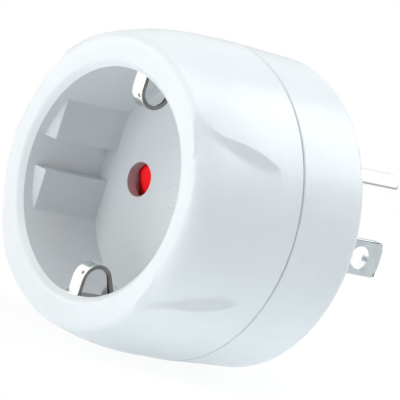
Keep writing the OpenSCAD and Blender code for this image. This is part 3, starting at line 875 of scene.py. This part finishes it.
@dataclass(frozen=True)
class EarthClip:
    """A spring strip, bent so that its arch reaches into the socket.

    Attributes:
        side: 1 for the upper clip, -1 for the lower one.
        half_width: Half of the strip's width in millimetres.
        half_sheet: Half of the sheet's thickness.
        corner: Rounding along the strip's edges.
        tail: Depth and height of the leg's end.
        bend: Depth and height of the middle of the bend.
        bend_r: Radius of the bend at the middle of the sheet.
        arch: Depth and height of the middle of the arch.
        arch_r: Radius of the arch at the middle of the sheet.
        slant: Slant of the rear leg in degrees.
        end: Depth and height of the rear leg's end.
        dent: Place across the strip and angle on the arch of its round dent.
        dent_r: Radius of the dent.
        dent_depth: Depth of the dent.
        margin: Width of the painted dark reflection on the rear leg's inner face, at its end.
    """

    side: int
    half_width: float = 1.35
    half_sheet: float = 0.4
    corner: float = 0.07
    tail: tuple[float, float] = (25.25, 22.15)
    bend: tuple[float, float] = (3.65, 21.25)
    bend_r: float = 0.9
    arch: tuple[float, float] = (5.7, 17.2)
    arch_r: float = 2.95
    slant: float = 30.0
    end: tuple[float, float] = (11.127, 20.7)
    dent: tuple[float, float] = (0.65, 24.0)
    dent_r: float = 0.26
    dent_depth: float = 0.3
    margin: float = 1.0

    def path(self) -> list[tuple[Vector, Vector]]:
        """Follows the middle of the sheet.

        Returns:
            Points as depth and height, each with the direction outward.
        """

        def run(start: Numbers, stop: Numbers, out: Vector, count: int) -> list:
            """Lists a straight stretch up to its last point, which is left to the next."""
            return [(Vector(start).lerp(Vector(stop), k / count), out) for k in range(count)]

        def turn(middle: Numbers, radius: float, angles: Numbers) -> list:
            """Lists a bent stretch, from the angles of its points in degrees."""
            outs = [Vector((math.cos(a), math.sin(a))) for a in map(math.radians, angles)]
            return [(Vector(middle) + radius * out, out) for out in outs]

        front, top = self.arch[0] - self.arch_r, self.bend[0] - self.bend_r
        fine = [180 + self.dent[1] + 1.5 * (k - 6) for k in range(13)]
        coarse = [180 + 5 * k for k in range(30) if abs(5 * k - self.dent[1]) > 10]
        lean = math.radians(self.slant)
        away = Vector((math.cos(lean), -math.sin(lean)))
        return (
            run(self.tail, (self.bend[0], self.tail[1]), Vector((0, 1)), 8)
            + turn(self.bend, self.bend_r, [90 + 9 * k for k in range(10)])
            + run((top, self.bend[1]), (front, self.arch[1]), Vector((-1, 0)), 8)
            + turn(self.arch, self.arch_r, sorted(fine + coarse))
            + run(Vector(self.arch) + self.arch_r * away, self.end, away, 6)
            + [(Vector(self.end), away)]
        )

    def section(self, depth: float) -> list[tuple[float, float, int]]:
        """Lists a closed outline across the strip.

        Args:
            depth: Depth of the middle of the sheet there.

        Returns:
            For each point, its place across, its place outward, and the finish of the
            strip of faces after it: 0 plated, 1 sheared, 2 the painted dark reflection on the inner
                face's margin.
        """
        wide, thick, corner = self.half_width, self.half_sheet, self.corner
        along = (depth - self.arch[0] - 1.0) / (self.end[0] - self.arch[0] - 1.0)
        # The painted dark reflection starts here and widens towards the rear leg's end.
        margin = wide - corner - self.margin * max(0.25, along)
        outline = []
        for across, outward, start in ((1, 1, 0), (-1, 1, 90), (-1, -1, 180), (1, -1, 270)):
            for k in range(4):
                angle = math.radians(start + 30 * k)
                x = across * (wide - corner) + corner * math.cos(angle)
                lift = outward * (thick - corner) + corner * math.sin(angle)
                outline.append((x, lift, int(start in (90, 270) or k == 0 and start == 180)))
            if start == 0:
                reach = self.dent_r * 1.3
                spots = [self.dent[0] + reach * (4 - k) / 4 for k in range(9)]
                outline += [(spot, thick, 0) for spot in spots if abs(spot) < wide - corner]
                outline += [(spot, thick, 0) for spot in (0.0, -0.5, -0.9)]
            if start == 180:
                outline.append((margin, -thick, 2))
        return outline

    def draw(self) -> bpy.types.Mesh:
        """Sweeps the section along the path and presses in the dent.

        Returns:
            The mesh, with its faces numbered by their finish.
        """
        path, section = self.path(), self.section(0.0)
        turn = math.radians(180 + self.dent[1])
        out = Vector((math.cos(turn), math.sin(turn)))
        dent = Vector(self.arch) + (self.arch_r + self.half_sheet) * out
        points = []
        for middle, outward in path:
            for across, lift, _ in self.section(middle.x):
                place = middle + lift * outward
                away = math.hypot(across - self.dent[0], (place - dent).length)
                if lift > 0 and away < self.dent_r:
                    place -= outward * self.dent_depth * (1 - (away / self.dent_r) ** 2) ** 1.5
                points.append(socket_point(across, self.side * place.y, place.x))
        spot = socket_point(self.dent[0], self.side * dent.y, dent.x) / MM
        count, rows = len(section), len(path)
        faces, finishes = [], []
        for row in range(rows - 1):
            for k in range(count):
                low, next_low = row * count + k, row * count + (k + 1) % count
                faces.append((low, next_low, next_low + count, low + count))
                middle = (points[low] + points[next_low + count]) / (2 * MM)
                pressed = (middle - spot).length < 1.3 * self.dent_r
                finish = 1 if k == count - 1 or pressed else section[k][2]
                rear = path[row][0].x > self.arch[0] + 1.0
                finishes.append(0 if finish == 2 and not rear else finish)
        faces += [tuple(range(count)), tuple(range((rows - 1) * count, rows * count))]
        mesh = draw_mesh("earth_clip_strip", points, faces)
        mesh.polygons.foreach_set("material_index", finishes + [1, 1])
        return mesh

    def build(self, finishes: Sequence[bpy.types.Material]) -> bpy.types.Object:
        """Builds the clip in place of its plain solid.

        Args:
            finishes: Finishes of the plated faces, the sheared edges and the painted dark
                reflection on the margin.

        Returns:
            The new object.
        """
        name = "top" if self.side > 0 else "bottom"
        mesh = self.draw()
        for material in finishes:
            mesh.materials.append(material)
        clip = add_object(f"earth_clip_{name}_strip", mesh)
        shade_evenly(clip)
        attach(clip, f"{name}_clip")
        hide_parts(f"earth_clip_{name}")
        log.info("%s: %d faces", clip.name, len(mesh.polygons))
        return clip


@dataclass(frozen=True)
class FloorRing:
    """The shallow raised ring in the middle of the socket floor.

    Attributes:
        depth: Depth of the socket floor in millimetres.
        radius: Radius of the middle of the ring.
        half_width: Half of the ring's width.
        rise: Height of the ring.
        sink: How far its foot reaches into the floor.
        sides: Number of steps round the ring.
    """

    depth: float = 17.5
    radius: float = 2.05
    half_width: float = 0.24
    rise: float = 0.07
    sink: float = 0.02
    sides: int = 64

    def build(self, material: bpy.types.Material) -> bpy.types.Object:
        """Builds the ring on the socket floor.

        Args:
            material: Its finish.

        Returns:
            The new object.
        """
        foot, height = self.depth + self.sink, self.rise + self.sink
        outline = [
            (self.radius + self.half_width * math.cos(a), foot - height * math.sin(a))
            for a in (math.pi * k / 8 for k in range(9))
        ]
        points = [
            socket_point(r * math.cos(t), r * math.sin(t), depth)
            for t in (2 * math.pi * k / self.sides for k in range(self.sides))
            for r, depth in outline
        ]
        count = len(outline)
        faces = [
            (a * count + k, b * count + k, b * count + (k + 1) % count, a * count + (k + 1) % count)
            for a, b in ((i, (i + 1) % self.sides) for i in range(self.sides))
            for k in range(count)
        ]
        mesh = draw_mesh("floor_ring", points, faces)
        mesh.materials.append(material)
        ring = add_object("floor_ring", mesh)
        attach(ring, "housing")
        log.info("floor_ring: %d faces", len(mesh.polygons))
        return ring


@dataclass
class Studio:
    """Floor, lamps, world and camera.

    Attributes:
        floor_z: Height of the floor in millimetres.
        aim: Point that the middle of the picture looks at, in millimetres.
        right: Direction of the picture's right edge.
        up: Direction of the picture's top edge.
        back: Direction from the object towards the camera.
        distance: Distance of the camera in millimetres.
        pixels_per_mm: Scale of the picture at the aim point.
        picture_px: Width of the picture.
        sensor_mm: Width of the camera's sensor.
        glow: Light that comes up through the floor of the light table.
        gap: Upward slopes between which metal mirrors the dark gap at the table's edge.
        gap_dark: How dark the gap is, from 0 to 1.
    """

    floor_z: float = -27.85
    aim: tuple[float, float, float] = (11.68, -31.76, 2.14)
    right: tuple[float, float, float] = (0.6128, 0.7308, 0.3016)
    up: tuple[float, float, float] = (-0.2935, -0.1441, 0.9451)
    back: tuple[float, float, float] = (0.7342, -0.6677, 0.1262)
    distance: float = 1500.0
    pixels_per_mm: float = 5.916
    picture_px: int = 400
    sensor_mm: float = 36.0
    glow: float = 0.27
    gap: tuple[float, float, float, float] = (-0.05, 0.02, 0.14, 0.24)
    gap_dark: float = 0.7

    def build(self) -> None:
        """Makes the whole studio."""
        self.make_camera()
        self.make_floor()
        self.make_world()
        self.make_lamps()

    def make_camera(self) -> None:
        """Puts the camera where the photograph was taken from."""
        data = bpy.data.cameras.new("camera")
        data.sensor_width = self.sensor_mm
        data.lens = self.pixels_per_mm * self.distance * self.sensor_mm / self.picture_px
        data.clip_start, data.clip_end = 0.01, 20.0
        camera = add_object("camera", data)
        turn = Matrix((self.right, self.up, self.back)).transposed().to_4x4()
        place = (Vector(self.aim) + Vector(self.back) * self.distance) * MM
        camera.matrix_world = Matrix.Translation(place) @ turn
        bpy.context.scene.camera = camera

    def make_floor(self) -> None:
        """Lays a white floor that keeps the object's shadow."""
        material, graph = new_material("studio_floor")
        _, seen = graph.seen()
        away = graph.add(
            "ShaderNodeVectorMath", {"operation": "LENGTH"}, {0: graph.object_place()}, "Value"
        )
        white = graph.add("ShaderNodeEmission", None, {"Color": rgba((1, 1, 1)), "Strength": 1.0})
        paint = graph.add("ShaderNodeBsdfDiffuse", None, {"Color": rgba((0.86, 0.87, 0.88))})
        glow = graph.add(
            "ShaderNodeEmission", None, {"Color": rgba((0.84, 0.95, 1.0)), "Strength": self.glow}
        )
        paint = graph.add("ShaderNodeAddShader", None, {0: paint, 1: glow})
        clear = 0.9 + 0.1 * away.step(0.06, 0.16)
        surface = graph.add("ShaderNodeMixShader", None, {0: clear * seen, 1: paint, 2: white})
        graph.add("ShaderNodeOutputMaterial", None, {"Surface": surface})
        mesh = bpy.data.meshes.new("floor")
        reach, rings, sides = 6.0, 12, 48
        points = [(0.0, 0.0, 0.0)]
        for ring in range(1, rings + 1):
            radius = reach * (ring / rings) ** 3
            points += [
                (radius * math.cos(a), radius * math.sin(a), 0.0)
                for a in (2 * math.pi * k / sides for k in range(sides))
            ]
        faces = [(0, 1 + k, 1 + (k + 1) % sides) for k in range(sides)]
        for ring in range(rings - 1):
            low, high = 1 + ring * sides, 1 + (ring + 1) * sides
            faces += [
                (low + k, high + k, high + (k + 1) % sides, low + (k + 1) % sides)
                for k in range(sides)
            ]
        mesh.from_pydata(points, [], faces)
        mesh.materials.append(material)
        floor = add_object("floor", mesh)
        floor.location = (0.0, -0.02, self.floor_z * MM)

    def make_world(self) -> None:
        """Fills the room with soft light, and shows white behind the object.

        Metal also mirrors the dark gap between the table and the backdrop.
        """
        world = bpy.data.worlds.new("room")
        world.use_nodes = True
        graph = Graph(world.node_tree)
        straight, seen = graph.seen()
        room = graph.add(
            "ShaderNodeBackground", None, {"Color": rgba((0.86, 0.93, 1.0)), "Strength": 0.04}
        )
        slope = graph.add("ShaderNodeSeparateXYZ", None, {0: graph.add("ShaderNodeTexCoord")}, "Z")
        gap = slope.step(*self.gap[:2]) * (1.0 - slope.step(*self.gap[2:]))
        dark = gap * (1.0 - straight) * self.gap_dark
        backdrop = graph.blend(dark, (1.0, 1.0, 1.0), (0.1, 0.11, 0.12))
        white = graph.add("ShaderNodeBackground", None, {"Color": backdrop, "Strength": 1.0})
        both = graph.add("ShaderNodeMixShader", None, {0: seen, 1: room, 2: white})
        graph.add("ShaderNodeOutputWorld", None, {"Surface": both})
        bpy.context.scene.world = world

    def lamp(self, name: str, place: Numbers, size: float, power: float, colour: Colour) -> None:
        """Adds a soft box that points at the object.

        Args:
            name: Name of the lamp.
            place: Its place in metres.
            size: Its width in metres.
            power: Its power in watts.
            colour: Its colour.
        """
        data = bpy.data.lights.new(name, "AREA")
        data.shape = "DISK"
        data.size = size
        data.energy = power
        data.color = colour
        lamp = add_object(name, data)
        lamp.location = Vector(place)
        aim = Vector(self.aim) * MM - lamp.location
        lamp.rotation_mode = "QUATERNION"
        lamp.rotation_quaternion = aim.to_track_quat("-Z", "Y")

    def make_lamps(self) -> None:
        """Adds the soft boxes: cool ones above and behind, warm ones in front and at the left."""
        cool, warm = (0.94, 0.98, 1.0), (1.0, 0.985, 0.97)
        self.lamp("lamp_top", (0.0, 0.0, 1.0), 0.7, 3.8, cool)
        self.lamp("lamp_above", (0.3, -0.3, 1.0), 0.4, 1.3, cool)
        self.lamp("lamp_behind", (0.3, 0.8, 0.9), 1.0, 9.0, cool)
        self.lamp("lamp_side", (0.75, 0.5, 0.6), 0.35, 0.4, cool)
        self.lamp("lamp_front", (0.0, -1.0, 0.15), 0.6, 3.5, warm)
        self.lamp("lamp_high", (-0.1, -0.85, 0.7), 0.5, 1.9, warm)
        self.lamp("lamp_left", (-0.9, -0.9, 0.1), 0.4, 2.1, warm)


def main() -> None:
    """Builds the scene and reports each piece."""
    logging.basicConfig(level=logging.INFO, format="%(name)s %(message)s")
    bpy.context.scene.view_settings.view_transform = "Standard"
    # Painted shade inside the socket recess.
    recess = (0.695, 0.725, 0.74)
    white = MouldedPlastic(
        "white_moulding", (0.845, 0.875, 0.89), (0.825, 0.855, 0.87), 0.3, recess=recess
    ).make()
    rear = MouldedPlastic("rear_moulding", (0.84, 0.87, 0.885), (0.815, 0.845, 0.86), 0.3).make()
    # The red shutter has a painted glow below the pin holes.
    red = MouldedPlastic(
        "red_moulding", (0.86, 0.012, 0.02), (0.8, 0.009, 0.016), painted_glow=0.45
    ).make()
    pale = MouldedPlastic("pale_moulding", (0.66, 0.66, 0.64), (0.6, 0.6, 0.58), 0.45).make()
    grey = MouldedPlastic("grey_moulding", (0.12, 0.125, 0.13), (0.09, 0.095, 0.1), 0.5).make()
    clip = PlatedMetal("clip_nickel", Plating.NICKEL, 0.13, edge_mm=0.03).make()
    sheared = PlatedMetal("sheared_edge", Plating.SHEARED, 0.42, edge_mm=0.03).make()
    # A painted dark reflection on the inner face of the clips' rear legs.
    painted_dark = PlatedMetal("painted_dark_margin", Plating.PAINTED_DARK, 0.4, edge_mm=0.03).make()
    pin = PlatedMetal("turned_prong", Plating.PRONG, 0.09, (1.0, 1.0, 1.0), 0.3, 0.0003).make()
    blade = PlatedMetal("stamped_blade", Plating.BLADE, 0.34).make()
    brass = PlatedMetal("stamped_brass", Plating.BRASS, 0.3).make()
    steel = PlatedMetal("drawn_steel", Plating.STEEL, 0.28).make()
    zinc = PlatedMetal("zinc_screw", Plating.ZINC, 0.3).make()
    finishes = (
        (rear, ("rear_housing",)),
        (red, ("shutter",)),
        (pale, ("shutter_cover",)),
        (grey, ("contact_carrier", "prong_plate")),
        (steel, ("shutter_axle", "shutter_spring", "line_contact_spring")),
        (steel, ("neutral_contact_spring",)),
        (zinc, ("cover_screws", "housing_screws")),
        (brass, ("earth_strap", "line_receptacle", "neutral_receptacle")),
        (brass, ("line_link", "neutral_link", "contact_rivets")),
    )
    for material, names in finishes:
        for name in names:
            CadNode(name).dress(material)
    FrontHousing("front_housing", "housing", "front_shell", white).build()
    for name in ("line_blade", "neutral_blade"):
        RoundedPiece(name, "housing", "prong_nickel", blade, EdgeRounding(0.2), pin).build()
    RoundedPiece("ground_prong", "housing", "prong_nickel", pin, EdgeRounding(0.3)).build()
    for side in (1, -1):
        EarthClip(side).build((clip, sheared, painted_dark))
    FloorRing().build(white)
    Studio().build()


if __name__ == "__main__":
    main()
